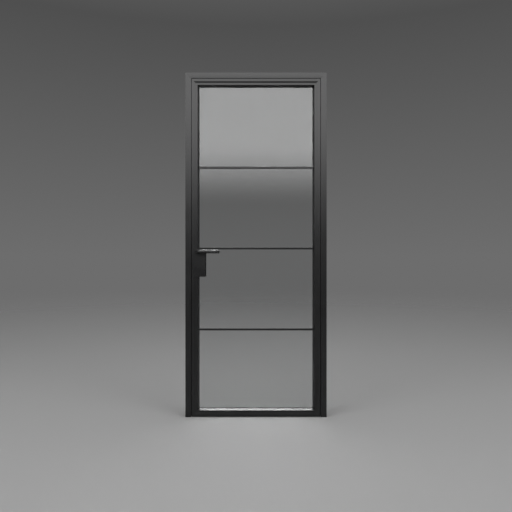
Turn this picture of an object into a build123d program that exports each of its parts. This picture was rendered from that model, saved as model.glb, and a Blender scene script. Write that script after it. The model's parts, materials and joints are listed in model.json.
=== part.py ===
from build123d import *
import os
from math import asin, degrees, hypot, radians, sin

# A single glazed door leaf in a three-sided frame. All sizes are in millimetres.
# X runs along the width, from the latch side to the hinge side. Y runs through the depth, and the leaf opens
# towards plus Y. Z is up, with the floor at zero.
# Sections are drawn in two distances: u inwards from the frame's outer edge and v backwards from the front face.

# Overall sizes
frame_width = 865.0
frame_height = 2110.0
section_depth = 55.0

# Frame section
frame_face = 35.0
frame_flat = 17.5
frame_drop = 2.2
frame_wall = 2.0
frame_back = 20.0
stop_depth = 22.0

# Rebate seal
seal_groove_in = 7.5
seal_neck = 3.0
seal_neck_depth = 1.0
seal_pocket = 5.0
seal_pocket_depth = 1.5
seal_groove_wall = 1.8
seal_body = 5.0
seal_shoulder = 4.0
seal_shoulder_drop = 0.75
seal_tip = 2.0
seal_play = 0.1

# Gaps round the leaf
leaf_gap = 3.5
rebate_gap = 5.0
seal_gap = 0.3
floor_gap = 5.0

# Leaf section
leaf_face = 36.0
leaf_flat = 13.0
leaf_bevel = 12.0
leaf_drop = 2.5
leaf_wall = 2.0
tube_width = 25.7
rebate_wall = 2.4
lip_run = 7.7
lip_wall = 1.8
lip_foot = 6.0

# Glass and glazing
glass_thickness = 8.0
glass_edge_gap = 4.0
gasket_thickness = 3.0
gasket_show = 1.5
gasket_inset = 0.3
bead_play = 0.2
bead_leg = 1.6
bead_groove_back = 9.0
bead_groove_width = 2.0
bead_groove_depth = 1.2
block_length = 100.0
block_width = 10.0
side_block_from_corner = 220.0

# Glazing bars
bar_width = 12.2
bar_depth = 8.0
bar_chamfer = 1.0
bar_end_gap = 0.3
bar_middle_height = 1033.5
bar_pitch = 498.5

# Corner cleats
cleat_leg = 80.0
cleat_wall = 3.0
cleat_cells = 3
cleat_play = 2.0
leaf_cleat_inset = 6.0

# Fixing holes in the frame
fixing_radius = 3.25
fixing_access_radius = 6.0
fixing_from_end = 150.0
fixing_inner_spacing = 670.0
fixing_head_spacing = 440.0

# Hinges
hinge_from_floor = 230.0
hinge_from_top = 240.0
hinge_names = ("bottom", "middle", "top")
hinge_behind = 10.5
hinge_length = 90.0
hinge_washer = 2.0
hinge_barrel_radius = 8.0
hinge_pin_radius = 4.0
hinge_pin_play = 0.05
hinge_pin_top_gap = 0.5
hinge_cap = 4.0
hinge_plate = 3.0
hinge_plate_width = 17.0
hinge_swing_gap = 0.3
hinge_corner = 3.0
hinge_screw_from_edge = 6.3
hinge_screw_spacing = 33.0

# Countersunk screws
screw_radius = 2.5
screw_head_radius = 4.5
screw_length = 14.0
small_screw_radius = 2.0
small_screw_head_radius = 3.8
small_screw_length = 10.0
socket_wall = 0.7
socket_floor = 0.4

# Lock position and lever
lever_height = 1014.0
spindle_backset = 50.0
spindle_side = 8.0
spindle_play = 0.05
spindle_depth = 25.0
lever_radius = 11.0
lever_reach = 129.0
lever_projection = 45.0
lever_bend = 18.0
lever_end_round = 8.0
shank_radius = 9.0
shank_play = 0.05
shank_gap = 0.5
bush_radius = 14.0
bush_sleeve_radius = 11.0
bush_flange = 2.5
grub_radius = 2.5
grub_from_plate = 11.0
grub_inset = 0.5
grub_socket = 1.25
grub_socket_depth = 2.5

# Lock plates
plate_edge = 10.0
plate_width = 74.0
plate_under_lever = 154.0
plate_height = 170.0
plate_thickness = 3.0
plate_corner = 1.0
post_radius = 4.0
post_length = 30.0
post_thread_depth = 12.0
through_screw_tip_gap = 2.0

# Lock box
box_wall = 2.0
box_corner = 8.0
box_under_plate_side = 6.0
box_under_plate_top = 3.5
box_under_plate_bottom = 4.0
box_play = 0.3
notch_gap = 1.5
box_screw_heights = (60.0, 130.0)
box_screw_back = 15.0
box_post_inset = 10.5
box_post_rise = 16.0

# Lock case
case_depth = 64.0
case_thickness = 16.0
case_height = 124.0
case_wall = 1.5
case_top_gap = 0.5
cover_post_radius = 3.0
cover_post_inset = 2.5
cover_rivet_radius = 2.0
forend_thickness = 2.0
forend_width = 20.0
forend_length = 230.0
forend_corner = 3.0
forend_play = 0.1
window_play = 0.3
forend_block_length = 20.0
forend_block_depth = 8.0
forend_screw_from_end = 13.0

# Lock mechanism
handle_turn = 40.0
latch_throw = 11.0
latch_width = 12.0
latch_tall = 18.0
latch_body = 32.5
latch_play = 0.2
latch_nose = 8.0
latch_tip_flat = 3.0
hub_radius = 8.0
trunnion_radius = 7.0
trunnion_play = 0.05
arm_radius = 12.0
arm_thickness = 6.0
arm_width = 3.6
nose_radius = 2.5
rocker_drop = 28.0
rocker_thickness = 4.0
rocker_hub_radius = 5.5
rocker_pin_radius = 3.0
rocker_pin_play = 0.05
rocker_arm_width = 4.3
rocker_face_gap = 0.6
rocker_tip = 17.4
lug_gap = 0.3
lug_width = 4.2
tail_height = 4.0
tail_gap = 0.5
tail_rise = 2.2
tail_play = 0.1
spring_room = 17.0
spring_radius = 3.6
spring_wire = 0.8
spring_wire_sides = 8
spring_coils = 6
spring_bends = 16
spring_end_gap = 0.1
guide_thickness = 1.5
guide_margin = 4.0
guide_gap = 1.0

# Strike plate
strike_thickness = 2.0
strike_width = 24.0
strike_length = 110.0
strike_hole_gap = 0.8
strike_window_gap = 0.6
strike_screw_spacing = 88.0
strike_corner = 3.0
lip_bend = 3.5
lip_side = 8.0

# Places worked out from the sizes
fixing_outer_spacing = frame_height - 2 * fixing_from_end
hinge_top = frame_height - hinge_from_top
hinge_heights = (hinge_from_floor, (hinge_from_floor + hinge_top) / 2, hinge_top)
plate_bottom = lever_height - plate_under_lever
leaf_edge = frame_face + leaf_gap
flange_edge = frame_back + leaf_gap
flange_front = stop_depth + rebate_gap
bevel_start = leaf_edge + leaf_flat
bevel_end = bevel_start + leaf_bevel
rebate = leaf_edge + tube_width
lip_start = leaf_edge + leaf_face
sight = lip_start + lip_run
glass_front = (section_depth - glass_thickness) / 2
glass_back = glass_front + glass_thickness
glass_edge = rebate + glass_edge_gap
lip_end = glass_front - gasket_thickness
lip_slope = lip_run / (lip_end - leaf_drop)
leaf_bottom_shift = floor_gap - leaf_edge
spindle_u = flange_edge + spindle_backset
lock_v = (flange_front + section_depth) / 2
plate_left = leaf_edge + plate_edge
plate_right = plate_left + plate_width
plate_top = plate_bottom + plate_height
box_right = plate_right - box_under_plate_side
box_low = plate_bottom + box_under_plate_bottom
box_high = plate_top - box_under_plate_top
case_left = flange_edge + forend_thickness
case_right = case_left + case_depth
case_top = box_high - box_wall - case_top_gap
case_bottom = case_top - case_height
case_front = lock_v - case_thickness / 2
case_rear = lock_v + case_thickness / 2
rocker_lever = arm_radius * sin(radians(handle_turn / 2))
rocker_half_turn = degrees(asin(rocker_lever / (rocker_drop - arm_radius)))
rocker_reach = latch_throw / 2 / sin(radians(rocker_half_turn))
rocker_height = lever_height - rocker_drop
nose_low = rocker_height - rocker_reach - nose_radius
tail_top = nose_low - tail_gap
latch_height = tail_top - tail_height - tail_rise + latch_tall / 2
latch_back = flange_edge - latch_throw + latch_body
guide_left = latch_back + spring_room
hinge_u = (frame_back + flange_edge) / 2
hinge_v = section_depth + hinge_behind
far = 4 * section_depth


# Helpers for drawing and placing


def flat(*points):
    """A flat face with straight edges."""
    return make_face(Polyline(*points, close=True))


def block(u0, u1, v0, v1, z0, z1):
    """A rectangular block between pairs of distances."""
    centre = Pos((u0 + u1) / 2, (v0 + v1) / 2, (z0 + z1) / 2)
    return centre * Box(u1 - u0, v1 - v0, z1 - z0)


def sheet(face, v0, v1):
    """A face drawn in u and z, made solid from depth v0 to depth v1."""
    return Pos(0, v0, 0) * extrude(Plane.XZ * face, -(v1 - v0))


def to_left(piece):
    """From section distances to the latch side."""
    return Pos(-frame_width / 2, -section_depth / 2, 0) * piece


def to_right(piece):
    """From section distances to the hinge side."""
    return mirror(to_left(piece), about=Plane.YZ)


def to_top(piece):
    """A run drawn along z, laid along the top with u pointing down."""
    return Pos(-frame_width / 2, -section_depth / 2, frame_height) * Rot(0, 90, 0) * piece


def to_bottom(piece):
    """A run drawn along z, laid along the leaf's bottom with u pointing up."""
    return Pos(frame_width / 2, -section_depth / 2, leaf_bottom_shift) * Rot(0, -90, 0) * piece


def to_back(piece):
    """The same piece on the rear side of the leaf."""
    return mirror(piece, about=Plane.XZ)


def upright(section, foot=0.0, foot_corner=None):
    """A vertical run with its top mitred. With a foot corner its lower end is mitred too, from that corner inwards."""
    bar = extrude(section, frame_height)
    points = [(-far, foot)]
    if foot_corner is None:
        points += [(far, foot)]
    else:
        points += [(foot_corner, foot), (far, foot + far - foot_corner)]
    points += [(far, frame_height - far), (-far, frame_height + far)]
    return bar & sheet(flat(*points), -far, far)


def leaf_upright(section):
    """A vertical run of the leaf, mitred to the top and bottom rails."""
    return upright(section, floor_gap, leaf_edge)


def crosswise(section):
    """A horizontal run between two verticals, mitred at both ends."""
    bar = extrude(section, frame_width)
    points = ((-far, -far), (far, far), (far, frame_width - far), (-far, frame_width + far))
    return bar & sheet(flat(*points), -far, far)


def screw_hole(radius, head_radius, length):
    """The countersunk hole that a screw fills, along minus Z from the origin."""
    cone = head_radius - radius
    head = Pos(0, 0, -cone / 2) * Cone(radius, head_radius, cone)
    shank = Pos(0, 0, -length / 2) * Cylinder(radius, length)
    return head + shank


def screw(radius, head_radius, length):
    """A countersunk screw along minus Z, its flat head at the origin, with a hexagon socket."""
    depth = head_radius - radius - socket_floor
    socket = extrude(RegularPolygon(radius - socket_wall, 6), -depth)
    return screw_hole(radius, head_radius, length) - socket


def group(*solids):
    """Separate solids of one kind, kept together."""
    return Compound(children=[part for item in solids for part in item.solids()])


# Sections


def frame_section():
    """The frame's hollow section: a moulded stop in front and a narrower rear part, with the seal's groove."""
    groove = frame_back + seal_groove_in
    neck = seal_neck / 2
    pocket = seal_pocket / 2
    neck_end = stop_depth - seal_neck_depth
    pocket_end = neck_end - seal_pocket_depth
    outline = flat(
        (0, 0),
        (frame_flat, 0),
        (frame_face, frame_drop),
        (frame_face, stop_depth),
        (groove + neck, stop_depth),
        (groove + neck, neck_end),
        (groove + pocket, neck_end),
        (groove + pocket, pocket_end),
        (groove - pocket, pocket_end),
        (groove - pocket, neck_end),
        (groove - neck, neck_end),
        (groove - neck, stop_depth),
        (frame_back, stop_depth),
        (frame_back, section_depth),
        (0, section_depth),
    )
    guard = pocket + seal_groove_wall
    guard_front = pocket_end - seal_groove_wall
    stop_inside = stop_depth - frame_wall
    stop_chamber = flat(
        (frame_wall, frame_wall),
        (frame_flat, frame_wall),
        (frame_face - frame_wall, frame_wall + frame_drop),
        (frame_face - frame_wall, stop_inside),
        (groove + guard, stop_inside),
        (groove + guard, guard_front),
        (groove - guard, guard_front),
        (groove - guard, stop_inside),
        (frame_wall, stop_inside),
    )
    back_chamber = flat(
        (frame_wall, stop_depth),
        (frame_back - frame_wall, stop_depth),
        (frame_back - frame_wall, section_depth - frame_wall),
        (frame_wall, section_depth - frame_wall),
    )
    return outline - stop_chamber - back_chamber


def seal_section():
    """The rebate seal: a head held in the groove and a tapered lip towards the leaf."""
    groove = frame_back + seal_groove_in
    neck = seal_neck / 2 - seal_play
    pocket = seal_pocket / 2 - seal_play
    neck_end = stop_depth - seal_neck_depth
    pocket_end = neck_end - seal_pocket_depth
    tip = flange_front - seal_gap
    half = seal_body / 2
    shoulder = seal_shoulder / 2
    point = seal_tip / 2
    return flat(
        (groove - pocket, pocket_end),
        (groove + pocket, pocket_end),
        (groove + pocket, neck_end),
        (groove + neck, neck_end),
        (groove + neck, stop_depth),
        (groove + half, stop_depth),
        (groove + shoulder, tip - seal_shoulder_drop),
        (groove + point, tip),
        (groove - point, tip),
        (groove - shoulder, tip - seal_shoulder_drop),
        (groove - half, stop_depth),
        (groove - neck, stop_depth),
        (groove - neck, neck_end),
        (groove - pocket, neck_end),
    )


def lip_outside(v):
    """Where the sloped lip's outer face lies at a depth."""
    return lip_start + lip_slope * (v - leaf_drop)


def lip_inside(v):
    """Where the sloped lip's inner face lies at a depth."""
    return lip_outside(v) - lip_wall * hypot(1, lip_slope)


def leaf_section(with_flange):
    """The leaf's hollow section with its fixed glazing lip. Stiles and top rail also have the rear flange."""
    groove_back = section_depth - bead_groove_back
    groove_front = groove_back - bead_groove_width
    back = section_depth - leaf_drop
    if with_flange:
        edge = [(flange_edge, section_depth), (flange_edge, flange_front), (leaf_edge, flange_front)]
    else:
        edge = [(leaf_edge, section_depth)]
    outline = flat(
        (leaf_edge, 0),
        (bevel_start, 0),
        (bevel_end, leaf_drop),
        (lip_start, leaf_drop),
        (sight, lip_end),
        (sight - lip_foot, lip_end),
        (sight - lip_foot, lip_end - lip_wall),
        (lip_inside(lip_end - lip_wall), lip_end - lip_wall),
        (lip_inside(leaf_drop + lip_wall), leaf_drop + lip_wall),
        (rebate, leaf_drop + lip_wall),
        (rebate, groove_front),
        (rebate - bead_groove_depth, groove_front),
        (rebate - bead_groove_depth, groove_back),
        (rebate, groove_back),
        (rebate, back),
        (bevel_end, back),
        (bevel_start, section_depth),
        *edge,
    )
    left = leaf_edge + leaf_wall
    right = rebate - rebate_wall
    front_slope = leaf_wall + leaf_drop * (right - bevel_start) / leaf_bevel
    main_chamber = flat(
        (left, leaf_wall),
        (bevel_start, leaf_wall),
        (right, front_slope),
        (right, section_depth - front_slope),
        (bevel_start, section_depth - leaf_wall),
        (left, section_depth - leaf_wall),
    )
    section = outline - main_chamber
    if with_flange:
        section -= flat(
            (flange_edge + leaf_wall, flange_front + leaf_wall),
            (leaf_edge, flange_front + leaf_wall),
            (leaf_edge, section_depth - leaf_wall),
            (flange_edge + leaf_wall, section_depth - leaf_wall),
        )
    return section


def bead_section():
    """The rear glazing bead: a thin folded section with a leg that snaps into the leaf's groove."""
    back = section_depth - leaf_drop
    left = rebate + bead_play
    hook_back = section_depth - bead_groove_back - bead_play
    hook_front = hook_back - bead_groove_width + 2 * bead_play
    hook = rebate - bead_groove_depth + bead_play
    foot = section_depth - lip_end
    return flat(
        (left, back),
        (lip_start, back),
        (sight, foot),
        (sight - lip_foot, foot),
        (sight - lip_foot, foot + lip_wall),
        (lip_inside(lip_end - lip_wall), foot + lip_wall),
        (lip_inside(leaf_drop + lip_wall), back - lip_wall),
        (left + bead_leg, back - lip_wall),
        (left + bead_leg, hook_front),
        (hook, hook_front),
        (hook, hook_back),
        (left, hook_back),
    )


def gasket_section():
    """The front glazing gasket between the lip and the glass. A small lip of it shows beyond the metal."""
    return flat(
        (sight - lip_foot + gasket_inset, lip_end),
        (sight, lip_end),
        (sight + gasket_show, lip_end + gasket_show),
        (sight + gasket_show, glass_front),
        (sight - lip_foot + gasket_inset, glass_front),
    )


# Corner cleats


def cleat_profile(near, inner):
    """An angle cut from an extruded profile: two legs between two depths, each with a row of cells."""
    end = near + cleat_leg
    angle = flat((near, near), (end, near), (end, inner), (inner, inner), (inner, end), (near, end))
    pitch = (end - inner - cleat_wall) / cleat_cells
    middle = (near + inner) / 2
    cell = Rectangle(pitch - cleat_wall, inner - near - 2 * cleat_wall)
    for step in range(cleat_cells):
        along = inner + cleat_wall / 2 + (step + 0.5) * pitch
        angle -= Pos(along, middle) * cell
        angle -= Pos(middle, along) * Rot(0, 0, 90) * cell
    return angle


# Frame


def fixing_holes(run_length, spacings):
    """Cutters for wall fixings, in pairs about the middle: a screw hole outside and an access hole inside."""
    v = (stop_depth + section_depth) / 2
    turned = Rot(0, 90, 0)
    cutters = []
    for spacing in spacings:
        for side in (-1, 1):
            z = run_length / 2 + side * spacing / 2
            outer = turned * Cylinder(fixing_radius, 2 * frame_wall)
            inner = turned * Cylinder(fixing_access_radius, 2 * frame_wall)
            cutters += [Pos(0, v, z) * outer, Pos(frame_back, v, z) * inner]
    return cutters


def jamb():
    """An upright of the frame, with its fixing holes."""
    piece = upright(frame_section())
    for cutter in fixing_holes(frame_height, (fixing_outer_spacing, fixing_inner_spacing)):
        piece -= cutter
    return piece


def hinge_jamb():
    """The jamb that carries the hinges, drilled for their screws."""
    piece = jamb()
    for cutter in hinge_screw_places(hinge_plate_edge() + hinge_screw_from_edge, screw_hole):
        piece -= cutter
    return to_right(piece)


def latch_jamb():
    """The jamb that carries the strike plate, with a window for the latch."""
    gap = strike_hole_gap + strike_window_gap
    v0 = lock_v - latch_width / 2 - gap
    z0 = latch_height - latch_tall / 2 - gap
    window = block(
        frame_back - 2 * frame_wall, frame_back + frame_wall,
        v0, v0 + latch_width + 2 * gap, z0, z0 + latch_tall + 2 * gap,
    )
    piece = jamb() - window
    for solid in strike_screw_set(screw_hole):
        piece -= solid
    return to_left(piece)


def frame_head():
    """The frame's top member."""
    piece = crosswise(frame_section())
    for cutter in fixing_holes(frame_width, (fixing_head_spacing,)):
        piece -= cutter
    return to_top(piece)


def frame_seal():
    """One length of seal, bent round the two upper corners."""
    run = upright(seal_section())
    return to_left(run) + to_top(crosswise(seal_section())) + to_right(run)


def frame_cleat():
    """An angle cleat inside the rear chamber of a frame corner."""
    front = stop_depth + cleat_play
    piece = sheet(cleat_profile(frame_wall, frame_back - frame_wall), front, section_depth - frame_wall - cleat_play)
    return Pos(0, 0, frame_height) * mirror(piece, about=Plane.XY)


# Strike plate


def strike_screw_set(shape=screw):
    """Two countersunk screws through the strike plate into the jamb, or their holes."""
    solids = []
    for side in (-1, 1):
        z = latch_height + side * strike_screw_spacing / 2
        one = shape(small_screw_radius, small_screw_head_radius, small_screw_length)
        solids.append(Pos(frame_back + strike_thickness, lock_v, z) * Rot(0, 90, 0) * one)
    return solids


def strike_lip():
    """The closing lip: the plate goes on past the jamb's rear edge and curls away from the leaf."""
    start = lock_v + strike_width / 2 - strike_corner
    face = frame_back + strike_thickness
    centre = face - lip_bend
    outer = Pos(centre, section_depth) * Circle(lip_bend)
    inner = Pos(centre, section_depth) * Circle(lip_bend - strike_thickness)
    behind = flat(
        (centre, section_depth), (face, section_depth),
        (face, section_depth + lip_bend), (centre, section_depth + lip_bend),
    )
    run = flat((frame_back, start), (face, start), (face, section_depth), (frame_back, section_depth))
    half = latch_tall / 2 + lip_side
    curl = (outer - inner) & behind
    return Pos(0, 0, latch_height - half) * extrude(run + curl, 2 * half)


def strike_plate():
    """A plate on the jamb's rebate face with rounded corners, the latch's hole and a closing lip."""
    half = strike_width / 2
    z_half = strike_length / 2
    plate = block(
        frame_back, frame_back + strike_thickness,
        lock_v - half, lock_v + half, latch_height - z_half, latch_height + z_half,
    )
    plate = fillet(plate.edges().filter_by(Axis.X), strike_corner) + strike_lip()
    v_half = latch_width / 2 + strike_hole_gap
    hole_half = latch_tall / 2 + strike_hole_gap
    plate -= block(
        0, 2 * frame_back, lock_v - v_half, lock_v + v_half, latch_height - hole_half, latch_height + hole_half
    )
    for solid in strike_screw_set(screw_hole):
        plate -= solid
    return plate


# Hinges


def hinge_plate_edge():
    """Distance from the frame's outer edge to the outer edge of a hinge plate on the frame."""
    reach = hinge_barrel_radius + hinge_swing_gap
    clear = hinge_behind - hinge_plate
    return hinge_u - (reach**2 - clear**2) ** 0.5 - hinge_plate_width


def hinge_screw_places(u, shape=screw):
    """Screws of all hinge plates at one distance, heads at the plates' rear faces, or their holes."""
    solids = []
    for height in hinge_heights:
        for step in (-1, 0, 1):
            one = Rot(-90, 0, 0) * shape(screw_radius, screw_head_radius, screw_length)
            solids.append(Pos(u, section_depth + hinge_plate, height + step * hinge_screw_spacing) * one)
    return solids


def hinge_half(bore_radius, blind):
    """A hinge half about its own axis: a full-height plate at minus X and a knuckle on the lower half."""
    knuckle = (hinge_length - hinge_washer) / 2
    front = -hinge_behind
    plate_outer = hinge_plate_edge() - hinge_u
    plate_inner = plate_outer + hinge_plate_width
    plate = block(plate_outer, plate_inner, front, front + hinge_plate, -hinge_length / 2, hinge_length / 2)
    outer_corners = plate.edges().filter_by(Axis.Y).group_by(Axis.X)[0]
    plate = fillet(outer_corners, hinge_corner)
    web = block(-hinge_barrel_radius, plate_inner, front, 0, 0, knuckle)
    barrel = Pos(0, 0, knuckle / 2) * Cylinder(hinge_barrel_radius, knuckle)
    low = hinge_cap if blind else 0
    bore = Pos(0, 0, (knuckle + low) / 2) * Cylinder(bore_radius, knuckle - low)
    half = plate + Pos(0, 0, -hinge_length / 2) * (web + barrel - bore)
    for step in (-1, 0, 1):
        one = Rot(-90, 0, 0) * screw_hole(screw_radius, screw_head_radius, screw_length)
        u = plate_outer + hinge_screw_from_edge
        half -= Pos(u, front + hinge_plate, step * hinge_screw_spacing) * one
    return half


def hinge_at(height, piece):
    """A hinge piece drawn about the hinge axis, placed at the hinge side."""
    return to_right(Pos(hinge_u, hinge_v, height) * piece)


def hinge_frame_half(height):
    """The lower knuckle with its plate on the jamb."""
    return hinge_at(height, hinge_half(hinge_pin_radius, False))


def hinge_leaf_half(height):
    """The upper knuckle with its plate on the leaf, closed at the top."""
    turned = Rot(0, 180, 0) * hinge_half(hinge_pin_radius + hinge_pin_play, True)
    return hinge_at(height, turned)


def hinge_pin(height):
    """The pin, fixed in the lower knuckle."""
    length = hinge_length - hinge_cap - hinge_pin_top_gap
    return hinge_at(height, Pos(0, 0, (length - hinge_length) / 2) * Cylinder(hinge_pin_radius, length))


def hinge_washer_ring(height):
    """The bearing washer between the knuckles."""
    ring = Cylinder(hinge_barrel_radius, hinge_washer)
    ring -= Cylinder(hinge_pin_radius + hinge_pin_play, hinge_washer)
    return hinge_at(height, ring)


# Leaf


def box_zone(left=rebate):
    """The room that the lock box takes out of the latch side's lip, gasket and bead."""
    z0 = box_low - box_play
    z1 = box_high + box_play
    return block(left, box_right, -section_depth, 2 * section_depth, z0, z1)


def hinge_stile():
    """The leaf's upright at the hinges."""
    piece = leaf_upright(leaf_section(True))
    leaf_side = 2 * hinge_u - hinge_plate_edge() - hinge_screw_from_edge
    for cutter in hinge_screw_places(leaf_side, screw_hole):
        piece -= cutter
    return to_right(piece)


def latch_stile():
    """The leaf's upright at the lock, with the forend's slot and windows for the case."""
    piece = leaf_upright(leaf_section(True)) - box_zone()
    piece -= forend_blank(forend_play, flange_edge - leaf_wall)
    piece -= block(
        flange_edge + leaf_wall, box_right, case_front - window_play, case_rear + window_play,
        case_bottom - window_play, case_top + window_play,
    )
    for cutter in box_screws(screw_hole):
        piece -= cutter
    return to_left(piece)


def leaf_cleat(top):
    """An angle cleat inside a corner of the leaf."""
    profile = cleat_profile(leaf_edge + leaf_wall, rebate - rebate_wall)
    piece = sheet(profile, leaf_cleat_inset, section_depth - leaf_cleat_inset)
    if top:
        return Pos(0, 0, frame_height) * mirror(piece, about=Plane.XY)
    return Pos(0, 0, leaf_bottom_shift) * piece


def front_gasket():
    """The gasket between the lip and the glass, all round but for the lock box."""
    run = leaf_upright(gasket_section())
    across = crosswise(gasket_section())
    return to_left(run - box_zone()) + to_top(across) + to_right(run) + to_bottom(across)


def glass_outline():
    """The pane's outline in width and height, with a rounded notch for the lock box."""
    low = leaf_bottom_shift + glass_edge
    high = frame_height - glass_edge
    pane = flat(
        (glass_edge, low), (frame_width - glass_edge, low), (frame_width - glass_edge, high), (glass_edge, high)
    )
    corner = box_corner + notch_gap
    width = 2 * (box_right + notch_gap - glass_edge)
    height = box_high - box_low + 2 * notch_gap
    centre = Pos(glass_edge, (box_high + box_low) / 2)
    return pane - centre * RectangleRounded(width, height, corner)


def glass_pane():
    """The single pane."""
    return to_left(sheet(glass_outline(), glass_front, glass_back))


def notch_gasket():
    """A strip between the lock box and the notched edge of the glass."""
    low = box_low - notch_gap
    high = box_high + notch_gap
    centre = Pos(glass_edge, (low + high) / 2)
    width = 2 * (box_right + notch_gap - glass_edge)
    outer = centre * RectangleRounded(width, high - low, box_corner + notch_gap)
    inner = centre * RectangleRounded(width - 2 * notch_gap, high - low - 2 * notch_gap, box_corner)
    keep = flat((sight, low), (plate_right, low), (plate_right, high), (sight, high))
    return to_left(sheet((outer - inner) & keep, glass_front, glass_back))


def setting_blocks():
    """Two load-bearing blocks under the glass."""
    low = leaf_bottom_shift + rebate
    middle = section_depth / 2
    width = block_width / 2
    solids = []
    for side in (-1, 1):
        u = frame_width / 2 + side * (frame_width / 2 - glass_edge) / 2
        solids.append(
            block(u - block_length / 2, u + block_length / 2, middle - width, middle + width, low, low + glass_edge_gap)
        )
    return to_left(group(*solids))


def side_blocks():
    """Location blocks beside the glass, near its four corners."""
    middle = section_depth / 2
    width = block_width / 2
    solids = []
    for z in (side_block_from_corner, frame_height - side_block_from_corner):
        one = block(rebate, glass_edge, middle - width, middle + width, z - block_length / 2, z + block_length / 2)
        solids += [to_left(one), to_right(one)]
    return group(*solids)


def glazing_bar(height):
    """A bar on the front of the glass, its ends scribed to the lip and the gasket."""
    front = glass_front - bar_depth
    step = lip_end - bar_end_gap
    left = [
        (lip_outside(front) + bar_end_gap, front),
        (lip_outside(step) + bar_end_gap, step),
        (sight + gasket_show + bar_end_gap, step),
        (sight + gasket_show + bar_end_gap, glass_front),
    ]
    right = [(frame_width - u, v) for u, v in reversed(left)]
    bar = extrude(flat(*left, *right), bar_width)
    front_edges = bar.edges().filter_by(Axis.X).group_by(Axis.Y)[0]
    bar = chamfer(front_edges, bar_chamfer)
    return to_left(Pos(0, 0, height - bar_width / 2) * bar)


# Lock box and plates


def box_outline(inset):
    """The lock box's outline in width and height, square at the stile and rounded at the glass."""
    width = box_right - rebate - 2 * inset
    height = box_high - box_low - 2 * inset
    face = Pos((box_right + rebate) / 2, (box_high + box_low) / 2) * Rectangle(width, height)
    corners = face.vertices().group_by(Axis.X)[-1]
    return fillet(corners, box_corner - inset)


def box_screws(shape=screw):
    """Two screws from inside the box into the stile, or their holes."""
    solids = []
    for rise in box_screw_heights:
        one = shape(small_screw_radius, small_screw_head_radius, small_screw_length)
        solids.append(Pos(rebate + box_wall, box_screw_back, box_low + rise) * Rot(0, 90, 0) * one)
    return solids


def lock_box():
    """A housing let into the glass, open to the plates, with a window for the case."""
    piece = sheet(box_outline(0) - box_outline(box_wall), 0, section_depth)
    piece -= block(
        rebate, rebate + box_wall, case_front - window_play, case_rear + window_play,
        case_bottom - window_play, case_top + window_play,
    )
    for solid in box_screws(screw_hole):
        piece -= solid
    return piece


def plate_points():
    """Where the through screws pass, clear of the lock case."""
    left = rebate + box_post_inset
    right = box_right - box_post_inset
    low = box_low + box_post_rise
    return ((left, low), (right, low), (right, box_high - box_post_rise))


def plate_blank():
    """A lock plate on the leaf's front face, bored for the handle bush."""
    piece = block(plate_left, plate_right, -plate_thickness, 0, plate_bottom, plate_top)
    piece = fillet(piece.edges().filter_by(Axis.Y), plate_corner)
    bore = Rot(90, 0, 0) * Cylinder(bush_sleeve_radius, 4 * plate_thickness)
    return piece - Pos(spindle_u, 0, lever_height) * bore


def front_lock_plate():
    """The plate on the viewer's side, with threaded posts on its hidden face."""
    piece = plate_blank()
    for u, z in plate_points():
        post = Rot(90, 0, 0) * Cylinder(post_radius, post_length)
        thread = Rot(90, 0, 0) * Cylinder(screw_radius, post_thread_depth)
        piece += Pos(u, post_length / 2, z) * post
        piece -= Pos(u, post_length - post_thread_depth / 2, z) * thread
    return piece


def plate_screw_set(shape=screw):
    """Through screws from the rear plate into the posts, or their holes."""
    reach = section_depth + plate_thickness - post_length + post_thread_depth - through_screw_tip_gap
    solids = []
    for u, z in plate_points():
        one = Rot(-90, 0, 0) * shape(screw_radius, screw_head_radius, reach)
        solids.append(Pos(u, section_depth + plate_thickness, z) * one)
    return solids


def rear_lock_plate():
    """The plate on the opening side, countersunk for the through screws."""
    piece = to_back(to_left(plate_blank()))
    for solid in plate_screw_set(screw_hole):
        piece -= to_left(solid)
    return piece


def handle_bush():
    """A flanged bush in the front plate."""
    flange = Pos(0, -plate_thickness - bush_flange / 2, 0) * Rot(90, 0, 0) * Cylinder(bush_radius, bush_flange)
    sleeve = Pos(0, -plate_thickness / 2, 0) * Rot(90, 0, 0) * Cylinder(bush_sleeve_radius, plate_thickness)
    bore = Rot(90, 0, 0) * Cylinder(shank_radius + shank_play, 8 * plate_thickness)
    return Pos(spindle_u, 0, lever_height) * (flange + sleeve - bore)


# Lock case


def forend_blank(play, outer):
    """The forend's outline with rounded corners, or its slot, from a distance to the case."""
    half = forend_width / 2 + play
    z_half = forend_length / 2 + play
    piece = block(outer, case_left, lock_v - half, lock_v + half, latch_height - z_half, latch_height + z_half)
    return fillet(piece.edges().filter_by(Axis.X), forend_corner + play)


def forend():
    """The forend, flush in the stile's edge, with the latch's opening."""
    piece = forend_blank(0, flange_edge)
    v_half = latch_width / 2 + latch_play
    hole_half = latch_tall / 2 + latch_play
    piece -= block(
        0, case_right, lock_v - v_half, lock_v + v_half, latch_height - hole_half, latch_height + hole_half
    )
    for solid in forend_screw_set(screw_hole):
        piece -= solid
    return piece


def forend_ends():
    """Heights of the forend's two screws."""
    reach = forend_length / 2 - forend_screw_from_end
    return (latch_height - reach, latch_height + reach)


def forend_screw_set(shape=screw):
    """Screws through the forend into the blocks behind it, or their holes."""
    solids = []
    for z in forend_ends():
        one = shape(small_screw_radius, small_screw_head_radius, small_screw_length)
        solids.append(Pos(flange_edge, lock_v, z) * Rot(0, -90, 0) * one)
    return solids


def forend_blocks():
    """Blocks inside the stile that the forend is screwed to."""
    solids = []
    front = flange_front + leaf_wall
    back = section_depth - leaf_wall
    for z, one in zip(forend_ends(), forend_screw_set(screw_hole)):
        low = z - forend_block_length
        high = z + forend_block_length
        solids.append(block(case_left, case_left + forend_block_depth, front, back, low, high) - one)
    return solids


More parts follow.
